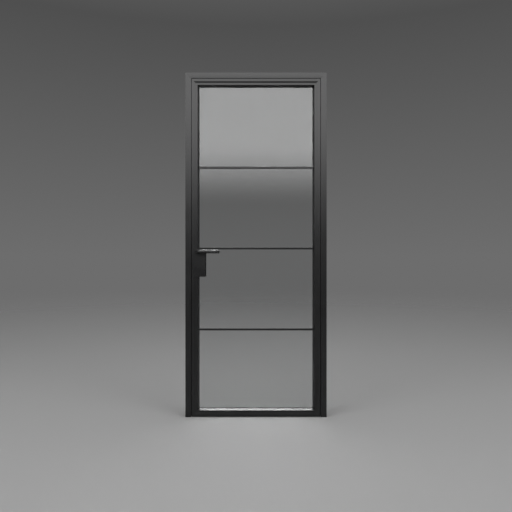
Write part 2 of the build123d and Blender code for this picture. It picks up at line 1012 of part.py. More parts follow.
def trunnion_hole():
    """The follower's bearing hole through the case."""
    hole = Rot(90, 0, 0) * Cylinder(trunnion_radius + trunnion_play, 4 * case_thickness)
    return Pos(spindle_u, lock_v, lever_height) * hole


def cover_posts(radius, front, rear):
    """Round posts near the case's corners, between two depths."""
    left = case_left + case_wall + cover_post_inset
    right = case_right - case_wall - cover_post_inset
    low = case_bottom + case_wall + cover_post_inset
    high = case_top - case_wall - cover_post_inset
    across = Rot(90, 0, 0) * Cylinder(radius, rear - front)
    return [Pos(u, (front + rear) / 2, z) * across for u in (left, right) for z in (low, high)]


def tail_guide():
    """A guide for the latch's tail, bent up from the case's back. It is the latch spring's stop."""
    half = rocker_thickness / 2 + tail_play
    low = tail_top - tail_height - tail_play
    high = tail_top + tail_play
    front = case_front + case_wall + guide_gap
    plate = block(
        guide_left, guide_left + guide_thickness, front, case_rear - case_wall,
        low - guide_margin, high + guide_margin,
    )
    return plate - block(guide_left, case_right, lock_v - half, lock_v + half, low, high)


def lock_case():
    """The case: back and side walls with the latch's window, posts for the cover and the tail's guide."""
    front = case_front + case_wall
    piece = block(case_left, case_right, front, case_rear, case_bottom, case_top)
    piece -= block(
        case_left + case_wall, case_right - case_wall, 0, case_rear - case_wall,
        case_bottom + case_wall, case_top - case_wall,
    )
    v_half = latch_width / 2 + latch_play
    hole_half = latch_tall / 2 + latch_play
    piece -= block(
        0, case_left + case_wall, lock_v - v_half, lock_v + v_half, latch_height - hole_half, latch_height + hole_half
    )
    for post in cover_posts(cover_post_radius, front, case_rear - case_wall):
        piece += post
    for rivet in cover_posts(cover_rivet_radius, case_front, front):
        piece += rivet
    return piece + tail_guide() - trunnion_hole()


def lock_cover():
    """The case's cover, held by the posts' riveted ends."""
    front = case_front + case_wall
    piece = block(case_left, case_right, case_front, front, case_bottom, case_top) - trunnion_hole()
    for rivet in cover_posts(cover_rivet_radius, case_front, front):
        piece -= rivet
    return piece


def latch_spring():
    """The compression spring round the latch's tail, between its head and the guide, wound in short bends."""
    inset = spring_wire / 2 + spring_end_gap
    length = spring_room - 2 * inset
    winding = Helix(pitch=length / spring_coils, height=length, radius=spring_radius)
    bends = spring_coils * spring_bends
    path = Polyline(*[winding @ (step / bends) for step in range(bends + 1)])
    wire = Plane(path @ 0, z_dir=path % 0) * RegularPolygon(spring_wire / 2, spring_wire_sides)
    coil = sweep(wire, path=path, transition=Transition.RIGHT)
    middle = tail_top - tail_height / 2
    return Pos(latch_back + inset, lock_v, middle) * Rot(0, 90, 0) * coil


def rocker_pin():
    """The rocker's fixed pin, between the case's back and its cover."""
    length = case_thickness - 2 * case_wall
    return Pos(spindle_u, lock_v, rocker_height) * Rot(90, 0, 0) * Cylinder(rocker_pin_radius, length)


# Moving pieces of the lock


def spindle_hole(length, play):
    """A square bar along the depth."""
    side = spindle_side + 2 * play
    return Box(side, length, side)


def spindle():
    """The square spindle through both levers and the follower."""
    reach = section_depth + 2 * spindle_depth
    return Pos(spindle_u, section_depth / 2, lever_height) * spindle_hole(reach, 0)


def follower():
    """The follower: a hub with trunnions, a square hole and a short arm that hangs down."""
    inside = case_thickness - 2 * case_wall - 2 * latch_play
    hub = Rot(90, 0, 0) * (Cylinder(hub_radius, inside) + Cylinder(trunnion_radius, case_thickness))
    arm = Pos(0, 0, -arm_radius / 2) * Box(arm_width, arm_thickness, arm_radius)
    nose = Pos(0, 0, -arm_radius) * Rot(90, 0, 0) * Cylinder(nose_radius, arm_thickness)
    turned = Rot(0, -handle_turn / 2, 0) * (arm + nose)
    piece = hub + turned - spindle_hole(2 * case_thickness, spindle_play)
    return Pos(spindle_u, lock_v, lever_height) * piece


def rocker():
    """The rocker: the follower pushes its upper arm one way and its lower arm draws the latch the other way."""
    across = Rot(90, 0, 0)
    hub = across * Cylinder(rocker_hub_radius, rocker_thickness)
    face = -nose_radius - rocker_face_gap
    upper = Pos(face - rocker_arm_width / 2, 0, rocker_tip / 2) * Box(rocker_arm_width, rocker_thickness, rocker_tip)
    lower = Pos(0, 0, -rocker_reach / 2) * Box(arm_width, rocker_thickness, rocker_reach)
    nose = Pos(0, 0, -rocker_reach) * across * Cylinder(nose_radius, rocker_thickness)
    bore = across * Cylinder(rocker_pin_radius + rocker_pin_play, 2 * rocker_thickness)
    piece = Rot(0, rocker_half_turn, 0) * (hub + upper + lower + nose - bore)
    return Pos(spindle_u, lock_v, rocker_height) * piece


def latch_bolt():
    """The latch: a sprung head bevelled towards the closing side, a tail and a lug for the rocker."""
    tip = flange_edge - latch_throw
    back = latch_back
    v0 = lock_v - latch_width / 2
    v1 = lock_v + latch_width / 2
    plan = flat((tip + latch_nose, v0), (back, v0), (back, v1), (tip, v1), (tip, v1 - latch_tip_flat))
    head = Pos(0, 0, latch_height - latch_tall / 2) * extrude(plan, latch_tall)
    lug_left = spindle_u - latch_throw / 2 + nose_radius + lug_gap
    lug_right = lug_left + lug_width
    half = rocker_thickness / 2
    low = tail_top - tail_height
    tail = block(back, lug_right, lock_v - half, lock_v + half, low, tail_top)
    lug = block(lug_left, lug_right, lock_v - half, lock_v + half, low, nose_low + 2 * nose_radius)
    return head + tail + lug


def lever():
    """The front lever: a round bar bent from its neck, with a turned shank and a rounded free end."""
    start = -plate_thickness - bush_flange - shank_gap
    axis = -plate_thickness - lever_projection
    path = FilletPolyline((0, start, 0), (0, axis, 0), (lever_reach, axis, 0), radius=lever_bend)
    bar = sweep(Plane.XZ.offset(-start) * Circle(lever_radius), path=path)
    end = bar.edges().group_by(Axis.X)[-1]
    bar = fillet(end, lever_end_round)
    shank_length = -start - shank_gap
    shank = Pos(0, -shank_gap - shank_length / 2, 0) * Rot(90, 0, 0) * Cylinder(shank_radius, shank_length)
    hole = Pos(0, -spindle_depth / 2, 0) * spindle_hole(spindle_depth, spindle_play)
    piece = bar + shank - hole - grub_blank()
    return Pos(spindle_u, 0, lever_height) * piece


def grub_blank():
    """The set screw's hole under the lever's neck, up to the spindle."""
    top = -spindle_side / 2
    low = -lever_radius + grub_inset
    return Pos(0, -plate_thickness - grub_from_plate, (top + low) / 2) * Cylinder(grub_radius, top - low)


def grub_screw():
    """The set screw, with a hexagon socket in its lower end."""
    low = -lever_radius + grub_inset
    socket = extrude(RegularPolygon(grub_socket, 6), grub_socket_depth)
    return grub_blank() - Pos(0, -plate_thickness - grub_from_plate, low) * socket


# All pieces, by node


def frame_pieces():
    """Pieces that stay with the wall."""
    plate_u = hinge_plate_edge() + hinge_screw_from_edge
    cleat = frame_cleat()
    pieces = {
        "hinge_jamb": hinge_jamb(),
        "latch_jamb": latch_jamb(),
        "frame_head": frame_head(),
        "frame_corner_cleats": group(to_left(cleat), to_right(cleat)),
        "frame_seal": frame_seal(),
        "strike_plate": to_left(strike_plate()),
        "strike_screws": to_left(group(*strike_screw_set())),
        "frame_hinge_screws": to_right(group(*hinge_screw_places(plate_u))),
        "hinge_pins": group(*[hinge_pin(height) for height in hinge_heights]),
        "hinge_washers": group(*[hinge_washer_ring(height) for height in hinge_heights]),
    }
    for name, height in zip(hinge_names, hinge_heights):
        pieces[f"{name}_hinge_frame_half"] = hinge_frame_half(height)
    return pieces


def leaf_pieces():
    """Pieces that swing with the leaf."""
    plate_u = 2 * hinge_u - hinge_plate_edge() - hinge_screw_from_edge
    gasket = front_gasket()
    bead = leaf_upright(bead_section())
    bead_across = crosswise(bead_section())
    latch_beads = to_left(bead - box_zone(leaf_edge)).solids().sort_by(Axis.Z)
    cleats = [side(leaf_cleat(top)) for side in (to_left, to_right) for top in (False, True)]
    bush = to_left(handle_bush())
    pieces = {
        "hinge_stile": hinge_stile(),
        "latch_stile": latch_stile(),
        "top_rail": to_top(crosswise(leaf_section(True))),
        "bottom_rail": to_bottom(crosswise(leaf_section(False))),
        "leaf_corner_cleats": group(*cleats),
        "glass_pane": glass_pane(),
        "front_gasket": gasket,
        "rear_gasket": to_back(gasket),
        "notch_gasket": notch_gasket(),
        "setting_blocks": setting_blocks(),
        "side_blocks": side_blocks(),
        "top_bead": to_top(bead_across),
        "bottom_bead": to_bottom(bead_across),
        "hinge_side_bead": to_right(bead),
        "latch_side_lower_bead": latch_beads[0],
        "latch_side_upper_bead": latch_beads[-1],
        "lock_box": to_left(lock_box()),
        "lock_box_screws": to_left(group(*box_screws())),
        "front_lock_plate": to_left(front_lock_plate()),
        "rear_lock_plate": rear_lock_plate(),
        "lock_plate_screws": to_left(group(*plate_screw_set())),
        "front_bush": bush,
        "rear_bush": to_back(bush),
        "lock_case": to_left(lock_case()),
        "lock_cover": to_left(lock_cover()),
        "forend": to_left(forend()),
        "forend_screws": to_left(group(*forend_screw_set())),
        "forend_blocks": to_left(group(*forend_blocks())),
        "rocker_pin": to_left(rocker_pin()),
        "latch_spring": to_left(latch_spring()),
        "leaf_hinge_screws": to_right(group(*hinge_screw_places(plate_u))),
    }
    bar_heights = {
        "lower": bar_middle_height - bar_pitch,
        "middle": bar_middle_height,
        "upper": bar_middle_height + bar_pitch,
    }
    for name, height in bar_heights.items():
        bar = glazing_bar(height)
        pieces[f"front_{name}_bar"] = bar
        pieces[f"rear_{name}_bar"] = to_back(bar)
    for name, height in zip(hinge_names, hinge_heights):
        pieces[f"{name}_hinge_leaf_half"] = hinge_leaf_half(height)
    return pieces


def lock_moving_pieces():
    """The handle set, the rocker and the latch."""
    front = to_left(lever())
    grub = to_left(Pos(spindle_u, 0, lever_height) * grub_screw())
    return {
        "front_lever": front,
        "rear_lever": to_back(front),
        "lever_grub_screws": group(grub, to_back(grub)),
        "spindle": to_left(spindle()),
        "follower": to_left(follower()),
        "rocker": to_left(rocker()),
        "latch_bolt": to_left(latch_bolt()),
    }


os.makedirs("parts", exist_ok=True)
for pieces in (frame_pieces(), leaf_pieces(), lock_moving_pieces()):
    for name, piece in pieces.items():
        export_step(piece, f"parts/{name}.step")
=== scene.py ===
"""Looks of a glazed door leaf in its three-sided frame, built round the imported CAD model.

Lengths are in metres in the row frame: X along the width, from the latch side to the hinge side, Y through
the depth towards the side that the leaf opens to, and Z up from the floor.
"""

import json
import logging
import math
from dataclasses import dataclass
from enum import Enum

import bmesh
import bpy
from mathutils import Matrix, Vector

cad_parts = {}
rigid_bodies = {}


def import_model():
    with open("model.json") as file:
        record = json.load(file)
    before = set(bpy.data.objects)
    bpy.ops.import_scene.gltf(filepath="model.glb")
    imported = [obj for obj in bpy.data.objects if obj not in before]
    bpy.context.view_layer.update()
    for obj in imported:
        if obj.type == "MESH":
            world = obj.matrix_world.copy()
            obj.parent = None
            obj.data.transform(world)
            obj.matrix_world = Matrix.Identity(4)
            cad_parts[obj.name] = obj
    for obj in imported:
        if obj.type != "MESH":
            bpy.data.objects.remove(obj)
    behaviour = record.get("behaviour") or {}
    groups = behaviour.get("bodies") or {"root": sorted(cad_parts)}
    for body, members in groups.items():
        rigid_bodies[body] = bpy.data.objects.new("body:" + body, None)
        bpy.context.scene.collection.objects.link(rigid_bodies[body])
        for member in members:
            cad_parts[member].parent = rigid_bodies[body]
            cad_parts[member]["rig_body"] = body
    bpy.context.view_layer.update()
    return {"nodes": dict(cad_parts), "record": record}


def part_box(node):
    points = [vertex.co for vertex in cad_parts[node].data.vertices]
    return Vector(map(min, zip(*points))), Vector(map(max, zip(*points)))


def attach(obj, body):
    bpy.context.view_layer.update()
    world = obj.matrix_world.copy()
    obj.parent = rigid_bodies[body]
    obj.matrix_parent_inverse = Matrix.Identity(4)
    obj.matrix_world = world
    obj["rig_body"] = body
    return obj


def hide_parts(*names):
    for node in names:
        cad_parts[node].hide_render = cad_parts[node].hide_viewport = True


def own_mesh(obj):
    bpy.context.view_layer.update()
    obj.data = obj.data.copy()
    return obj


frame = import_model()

MM = 0.001
# Vertices nearer than this are one, and faces that turn by less than this are one flat face.
MERGE_MM = 0.001
FLAT_DEGREES = 0.5
# Edges that turn by more than this are eased.
SHARP_DEGREES = 30.0
# A noise pattern's values lie mostly between these two.
PATTERN_LOW, PATTERN_HIGH = 0.3, 0.7
PATTERN_ROUGHNESS = 0.55
HALF_OF_UNIT_SQUARE = 0.5
log = logging.getLogger("door")


class Edge(Enum):
    """How far a piece's sharp edges are rounded, in millimetres, by the way it is made."""

    EXTRUDED = 0.4
    SNAP_BEAD = 0.3
    CAST = 0.5
    CUT_PLATE = 0.35
    TURNED = 0.25
    SCREW_HEAD = 0.15


class PanelUse(Enum):
    """What a light panel is for: whether it lights matt surfaces, and whether it is mirrored."""

    LIGHT = (True, False)
    MIRROR = (False, True)
    BOTH = (True, True)


def linear(hex_colour: str) -> tuple[float, float, float, float]:
    """Turns an sRGB hex colour into linear light.

    Args:
        hex_colour: Six hex digits after a hash.

    Returns:
        Red, green, blue and a full alpha, for a colour socket.
    """
    values = [int(hex_colour[i : i + 2], 16) / 255 for i in (1, 3, 5)]
    red, green, blue = (v / 12.92 if v <= 0.04045 else ((v + 0.055) / 1.055) ** 2.4 for v in values)
    return red, green, blue, 1.0


def per_metre(size_mm: float) -> float:
    """Pattern scale for a texture on Object coordinates, from the real size of one grain in millimetres."""
    return 1 / (size_mm * MM)


def add_node(
    tree: bpy.types.NodeTree,
    kind: str,
    settings: dict | None = None,
    links: dict | None = None,
) -> bpy.types.Node:
    """Adds one shader node with its settings and links.

    Args:
        tree: The tree that gets the node.
        kind: Blender's identifier of the node, without its ShaderNode prefix.
        settings: Properties of the node, or values of its inputs, by name or index.
        links: Output sockets that feed its inputs, by input name or index.

    Returns:
        The new node.
    """
    node = tree.nodes.new("ShaderNode" + kind)
    for key, value in (settings or {}).items():
        if isinstance(key, str) and hasattr(node, key):
            setattr(node, key, value)
        else:
            node.inputs[key].default_value = value
    for key, socket in (links or {}).items():
        tree.links.new(socket, node.inputs[key])
    return node


def add_ramp(
    tree: bpy.types.NodeTree,
    factor: bpy.types.NodeSocket,
    stops: dict[float, str],
) -> bpy.types.NodeSocket:
    """Adds a colour ramp.

    Args:
        tree: The tree that gets the ramp.
        factor: The socket that drives it.
        stops: sRGB hex colours by their place from 0 to 1.

    Returns:
        The ramp's colour socket.
    """
    ramp = add_node(tree, "ValToRGB", links={"Fac": factor})
    elements = ramp.color_ramp.elements
    while len(elements) < len(stops):
        elements.new(0.5)
    for element, (place, colour) in zip(elements, sorted(stops.items())):
        element.position = place
        element.color = linear(colour)
    return ramp.outputs["Color"]


@dataclass(frozen=True)
class Finish:
    """What every finish has: the name of its material, and a way to shade it."""

    name: str

    def material(self) -> bpy.types.Material:
        """Makes the material, or returns it where it is already made.

        Returns:
            The material of this finish.
        """
        made = bpy.data.materials.get(self.name)
        if made is not None:
            return made
        made = bpy.data.materials.new(self.name)
        made.use_nodes = True
        tree = made.node_tree
        tree.nodes.clear()
        output = add_node(tree, "OutputMaterial")
        tree.links.new(self.surface(tree), output.inputs["Surface"])
        return made

    def surface(self, tree: bpy.types.NodeTree) -> bpy.types.NodeSocket:
        """Adds the finish's shader nodes.

        Args:
            tree: The material's tree.

        Returns:
            The shader socket for the material's surface.
        """
        raise NotImplementedError

    def noise(
        self,
        tree: bpy.types.NodeTree,
        size_mm: float,
        stretch: tuple[float, float, float] = (1, 1, 1),
        detail: float = 3.0,
    ) -> bpy.types.NodeSocket:
        """Adds a noise pattern on the piece's own coordinates.

        Args:
            tree: The material's tree.
            size_mm: The real size of one grain.
            stretch: How much finer the pattern is along X, Y and Z.
            detail: The noise's detail.

        Returns:
            The pattern's value socket.
        """
        place = add_node(tree, "TexCoord")
        mapped = add_node(tree, "Mapping", {"Scale": stretch}, {"Vector": place.outputs["Object"]})
        pattern = add_node(
            tree,
            "TexNoise",
            {"Scale": per_metre(size_mm), "Detail": detail, "Roughness": PATTERN_ROUGHNESS},
            {"Vector": mapped.outputs["Vector"]},
        )
        return pattern.outputs["Fac"]

    def between(
        self,
        tree: bpy.types.NodeTree,
        factor: bpy.types.NodeSocket,
        low: float,
        high: float,
    ) -> bpy.types.NodeSocket:
        """Spreads a pattern's middle range between two values.

        Args:
            tree: The material's tree.
            factor: The pattern.
            low: The value where the pattern is low.
            high: The value where it is high.

        Returns:
            The spread value.
        """
        spread = add_node(
            tree,
            "MapRange",
            {"From Min": PATTERN_LOW, "From Max": PATTERN_HIGH, "To Min": low, "To Max": high},
            {"Value": factor},
        )
        return spread.outputs["Result"]

    def bump(
        self,
        tree: bpy.types.NodeTree,
        pattern: bpy.types.NodeSocket,
        height_mm: float,
        strength: float,
    ) -> bpy.types.NodeSocket:
        """Raises the surface by a pattern.

        Args:
            tree: The material's tree.
            pattern: The pattern.
            height_mm: How far its highest points stand out.
            strength: How much of that is shown.

        Returns:
            The bumped normal.
        """
        skin = add_node(tree, "Bump", {"Strength": strength, "Distance": height_mm * MM}, {"Height": pattern})
        return skin.outputs["Normal"]

    def smooth_step(
        self,
        tree: bpy.types.NodeTree,
        value: bpy.types.NodeSocket,
        span: tuple[float, float],
        result: tuple[float, float] = (0.0, 1.0),
    ) -> bpy.types.NodeSocket:
        """Lets a value fade smoothly from one result to another.

        Args:
            tree: The material's tree.
            value: The value.
            span: Where the fade begins and ends.
            result: The results before and after it.

        Returns:
            The faded value.
        """
        fade = add_node(
            tree,
            "MapRange",
            {
                "interpolation_type": "SMOOTHSTEP",
                "From Min": span[0],
                "From Max": span[1],
                "To Min": result[0],
                "To Max": result[1],
            },
            {"Value": value},
        )
        return fade.outputs["Result"]


@dataclass(frozen=True)
class UnevenFinish(Finish):
    """A finish whose roughness wanders between a glossier and a duller value."""

    roughness: float = 0.5
    glossier: float = 0.03
    duller: float = 0.05

    def uneven_roughness(
        self, tree: bpy.types.NodeTree, pattern: bpy.types.NodeSocket
    ) -> bpy.types.NodeSocket:
        """Makes the roughness follow a pattern.

        Args:
            tree: The material's tree.
            pattern: The pattern, which is glossier where it is low.

        Returns:
            The roughness.
        """
        return self.between(tree, pattern, self.roughness - self.glossier, self.roughness + self.duller)


@dataclass(frozen=True)
class PowderCoat(UnevenFinish):
    """Black polyester powder coat on aluminium, sprayed as dust and baked. It gives a satin sheen with a fine
    orange-peel skin, and the film pools a little, so the sheen wanders slowly along a profile."""

    roughness: float = 0.3
    glossier: float = 0.01
    duller: float = 0.02
    deep: str = "#0A0A0B"
    worn: str = "#121213"
    peel_mm: float = 2.2
    peel_height_mm: float = 0.012
    peel_strength: float = 0.4
    wander_mm: float = 140.0

    def surface(self, tree: bpy.types.NodeTree) -> bpy.types.NodeSocket:
        """Satin paint: two close blacks, a wandering sheen and the orange-peel skin.

        Args:
            tree: The material's tree.

        Returns:
            The shader socket.
        """
        wander = self.noise(tree, self.wander_mm, detail=2.0)
        # Real peel is about a millimetre across. It is drawn up to twice as coarse, so that it shows at all.
        peel = self.noise(tree, self.peel_mm, detail=2.0)
        shader = add_node(
            tree,
            "BsdfPrincipled",
            {"Metallic": 0.0, "IOR": 1.5},
            {
                "Base Color": add_ramp(tree, wander, {0.35: self.deep, 0.7: self.worn}),
                "Roughness": self.uneven_roughness(tree, wander),
                "Normal": self.bump(tree, peel, self.peel_height_mm, self.peel_strength),
            },
        )
        return shader.outputs["BSDF"]


@dataclass(frozen=True)
class FloatGlass(Finish):
    """Lightly grey-tinted toughened float glass. The rollers of the toughening oven leave a very slow wave,
    which bends reflections a little. Lamps shine through it, so its shadow stays pale."""

    tint: str = "#E6E7E7"
    roughness: float = 0.0
    index: float = 1.52
    wave_mm: float = 320.0
    wave_height_mm: float = 0.02
    wave_strength: float = 1.0
    wave_stretch: tuple[float, float, float] = (0.5, 1, 1)

    def surface(self, tree: bpy.types.NodeTree) -> bpy.types.NodeSocket:
        """Clear solid glass that lets lamps through.

        Args:
            tree: The material's tree.

        Returns:
            The shader socket.
        """
        wave = self.noise(tree, self.wave_mm, stretch=self.wave_stretch, detail=0.0)
        glass = add_node(
            tree,
            "BsdfPrincipled",
            {
                "Base Color": linear(self.tint),
                "Metallic": 0.0,
                "Roughness": self.roughness,
                "IOR": self.index,
                "Transmission Weight": 1.0,
            },
            {"Normal": self.bump(tree, wave, self.wave_height_mm, self.wave_strength)},
        )
        open_to_lamps = add_node(tree, "BsdfTransparent", {"Color": linear(self.tint)})
        path = add_node(tree, "LightPath")
        mixed = add_node(
            tree,
            "MixShader",
            links={
                0: path.outputs["Is Shadow Ray"],
                1: glass.outputs["BSDF"],
                2: open_to_lamps.outputs["BSDF"],
            },
        )
        return mixed.outputs["Shader"]


@dataclass(frozen=True)
class ExtrudedRubber(UnevenFinish):
    """Black EPDM seal, extruded. It is dull, a little dusty, and has faint upright lines."""

    roughness: float = 0.72
    glossier: float = 0.05
    duller: float = 0.08
    deep: str = "#0C0C0C"
    dusty: str = "#1C1C1B"
    bloom_mm: float = 35.0
    line_mm: float = 0.6
    line_stretch: tuple[float, float, float] = (1, 1, 0.1)
    line_height_mm: float = 0.02
    line_strength: float = 0.25

    def surface(self, tree: bpy.types.NodeTree) -> bpy.types.NodeSocket:
        """Dull rubber with a faint bloom.

        Args:
            tree: The material's tree.

        Returns:
            The shader socket.
        """
        bloom = self.noise(tree, self.bloom_mm)
        lines = self.noise(tree, self.line_mm, stretch=self.line_stretch)
        shader = add_node(
            tree,
            "BsdfPrincipled",
            {"Metallic": 0.0, "IOR": 1.5},
            {
                "Base Color": add_ramp(tree, bloom, {0.35: self.deep, 0.75: self.dusty}),
                "Roughness": self.uneven_roughness(tree, bloom),
                "Normal": self.bump(tree, lines, self.line_height_mm, self.line_strength),
            },
        )
        return shader.outputs["BSDF"]


@dataclass(frozen=True)
class MouldedPlastic(UnevenFinish):
    """Injection-moulded nylon or polypropylene, with the fine spark-eroded grain of its mould."""

    roughness: float = 0.5
    glossier: float = 0.04
    duller: float = 0.06
    colour: str = "#1A1A1A"
    lighter: str = "#222222"
    grain_mm: float = 0.5
    grain_height_mm: float = 0.015
    grain_strength: float = 0.2

    def surface(self, tree: bpy.types.NodeTree) -> bpy.types.NodeSocket:
        """Even plastic with a moulded grain.

        Args:
            tree: The material's tree.

        Returns:
            The shader socket.
        """
        grain = self.noise(tree, self.grain_mm)
        shader = add_node(
            tree,
            "BsdfPrincipled",
            {"Metallic": 0.0, "IOR": 1.49},
            {
                "Base Color": add_ramp(tree, grain, {0.3: self.colour, 0.7: self.lighter}),
                "Roughness": self.uneven_roughness(tree, grain),
                "Normal": self.bump(tree, grain, self.grain_height_mm, self.grain_strength),
            },
        )
        return shader.outputs["BSDF"]


@dataclass(frozen=True)
class BrushedSteel(UnevenFinish):
    """Stainless steel or bare aluminium with fine upright streaks, from brushing or from the extrusion die.
    Real brushing is finer than a tenth of a millimetre. It is drawn coarser, so that it shows at all."""

    roughness: float = 0.32
    glossier: float = 0.03
    duller: float = 0.04
    light: str = "#BAB8B4"
    dark: str = "#A5A39F"
    streak_mm: float = 0.22
    streak_stretch: tuple[float, float, float] = (1.0, 1.0, 0.02)
    streak_height_mm: float = 0.005
    streak_strength: float = 0.1

    def surface(self, tree: bpy.types.NodeTree) -> bpy.types.NodeSocket:
        """Metal with streaks in colour, roughness and height.

        Args:
            tree: The material's tree.

        Returns:
            The shader socket.
        """
        streaks = self.noise(tree, self.streak_mm, stretch=self.streak_stretch, detail=4.0)
        shader = add_node(
            tree,
            "BsdfPrincipled",
            {"Metallic": 1.0},
            {
                "Base Color": add_ramp(tree, streaks, {0.3: self.dark, 0.7: self.light}),
                "Roughness": self.uneven_roughness(tree, streaks),
                "Normal": self.bump(tree, streaks, self.streak_height_mm, self.streak_strength),
            },
        )
        return shader.outputs["BSDF"]


@dataclass(frozen=True)
class PlatedSteel(UnevenFinish):
    """Plated or drawn steel with soft patches of sheen, which are finer on small pieces."""

    roughness: float = 0.38
    glossier: float = 0.08
    duller: float = 0.1
    light: str = "#A9ABAC"
    dark: str = "#85878A"
    patch_mm: float = 9.0

    def surface(self, tree: bpy.types.NodeTree) -> bpy.types.NodeSocket:
        """Patchy bright metal.

        Args:
            tree: The material's tree.

        Returns:
            The shader socket.
        """
        patches = self.noise(tree, self.patch_mm, detail=5.0)
        shader = add_node(
            tree,
            "BsdfPrincipled",
            {"Metallic": 1.0},
            {
                "Base Color": add_ramp(tree, patches, {0.3: self.dark, 0.7: self.light}),
                "Roughness": self.uneven_roughness(tree, patches),
            },
        )
        return shader.outputs["BSDF"]


POWDER_COAT = PowderCoat("black_powder_coat")
FITTING_COAT = PowderCoat("black_fitting_coat", deep="#101011", worn="#1A1A1B", roughness=0.27, peel_mm=1.4)
GLASS = FloatGlass("grey_tinted_float_glass")
RUBBER = ExtrudedRubber("black_epdm_rubber")
BLACK_NYLON = MouldedPlastic("black_nylon")
GREY_PACKER = MouldedPlastic("grey_polypropylene", colour="#5E6062", lighter="#6B6D6F", roughness=0.55)
STAINLESS = BrushedSteel("brushed_stainless_steel")
MILL_ALUMINIUM = BrushedSteel(
    "mill_finish_aluminium", light="#C9CACB", dark="#B8B9BA", roughness=0.45, streak_mm=0.5
)
ZINC_PLATE = PlatedSteel("zinc_plated_steel")
BLACK_ZINC = PlatedSteel(
    "black_zinc_plated_steel", light="#3A3A3B", dark="#242425", roughness=0.36, patch_mm=4.0
)
SPRING_WIRE = PlatedSteel(
    "drawn_spring_wire", light="#8E9092", dark="#6E7072", roughness=0.25, patch_mm=3.0
)

FINISH_OF_SLOT: dict[str, Finish] = {
    "black_metal": POWDER_COAT,
    "black_fittings": FITTING_COAT,
    "raw_aluminium": MILL_ALUMINIUM,
    "clear_glass": GLASS,
    "black_rubber": RUBBER,
    "black_plastic": BLACK_NYLON,
    "grey_plastic": GREY_PACKER,
    "plated_steel": ZINC_PLATE,
    "stainless_steel": STAINLESS,
    "black_screws": BLACK_ZINC,
    "spring_steel": SPRING_WIRE,
}


def slot_of(node: str) -> str:
    """The record's material slot of a CAD node."""
    return next(part["material_slot"] for part in frame["record"]["subparts"] if part["node"] == node)


def body_of(node: str) -> str:
    """The body that a CAD node rides on."""
    return frame["nodes"][node]["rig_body"]


def dress(node: str) -> None:
    """Gives a CAD node the finish of its slot.

    Args:
        node: The CAD node's name.
    """
    materials = frame["nodes"][node].data.materials
    materials.clear()
    materials.append(FINISH_OF_SLOT[slot_of(node)].material())
    log.info("dressed %s", node)


def add_piece(name: str, shape: bmesh.types.BMesh, node: str, turn_limit: float) -> bpy.types.Object:
    """Turns a finished bmesh into a piece that stands for a CAD node.

    Args:
        name: The piece's name.
        shape: Its mesh, which is freed.
        node: The CAD node that it stands for, which gives its body and its slot.
        turn_limit: Faces that meet at less than this angle, in degrees, are shaded as one smooth surface.

    Returns:
        The new object.
    """
    for face in shape.faces:
        face.smooth = True
    for edge in shape.edges:
        edge.smooth = edge.calc_face_angle(0.0) < math.radians(turn_limit)
    mesh = bpy.data.meshes.new(name)
    shape.to_mesh(mesh)
    shape.free()
    piece = bpy.data.objects.new(name, mesh)
    bpy.context.scene.collection.objects.link(piece)
    slot = slot_of(node)
    mesh.materials.append(FINISH_OF_SLOT[slot].material())
    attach(piece, body_of(node))
    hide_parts(node)
    log.info("built %s with %d faces", name, len(mesh.polygons))
    return piece


def merged_copy(node: str) -> bmesh.types.BMesh:
    """A CAD node's mesh with its loose triangles joined and its flat faces made whole.

    Args:
        node: The CAD node's name.

    Returns:
        A new bmesh, for the caller to free.
    """
    shape = bmesh.new()
    shape.from_mesh(frame["nodes"][node].data)
    bmesh.ops.remove_doubles(shape, verts=shape.verts, dist=MERGE_MM * MM)
    bmesh.ops.dissolve_limit(
        shape,
        angle_limit=math.radians(FLAT_DEGREES),
        verts=shape.verts,
        edges=shape.edges,
        use_dissolve_boundaries=False,
    )
    return shape


def ease(node: str, edge: Edge, turn_limit: float = 8.0) -> None:
    """Stands in for a CAD node with its shape and eased edges, as an extrusion die or a tumbler leaves them.

    Args:
        node: The CAD node's name.
        edge: The kind of edge, which gives the width of the easing.
        turn_limit: Passed to add_piece.
    """
    shape = merged_copy(node)
    corners = [line for line in shape.edges if line.calc_face_angle(0.0) > math.radians(SHARP_DEGREES)]
    bmesh.ops.bevel(
        shape,
        geom=corners,
        offset=edge.value * MM,
        offset_type="OFFSET",
        affect="EDGES",
        segments=2,
        profile=0.5,
        material=-1,
        clamp_overlap=True,
    )
    add_piece(node + "_eased", shape, node, turn_limit)


@dataclass
class DoorFrame:
    """The three-sided frame: jambs, head, cleats and seal."""

    members: tuple[str, ...] = ("hinge_jamb", "latch_jamb", "frame_head")
    plain: tuple[str, ...] = ("frame_corner_cleats", "frame_seal")

    def build(self) -> None:
        """Eases the members' edges and dresses the rest."""
        for node in self.members:
            ease(node, Edge.EXTRUDED)
        for node in self.plain:
            dress(node)


@dataclass
class LeafFrame:
    """The leaf's stiles, rails and snap-in beads."""

    members: tuple[str, ...] = ("hinge_stile", "latch_stile", "top_rail", "bottom_rail")
    beads: tuple[str, ...] = (
        "top_bead",
        "bottom_bead",
        "hinge_side_bead",
        "latch_side_lower_bead",
        "latch_side_upper_bead",
    )
    plain: tuple[str, ...] = ("leaf_corner_cleats",)

    def build(self) -> None:
        """Eases the members' and beads' edges and dresses the cleats."""
        for node in self.members:
            ease(node, Edge.EXTRUDED)
        for node in self.beads:
            ease(node, Edge.SNAP_BEAD)
        for node in self.plain:
            dress(node)


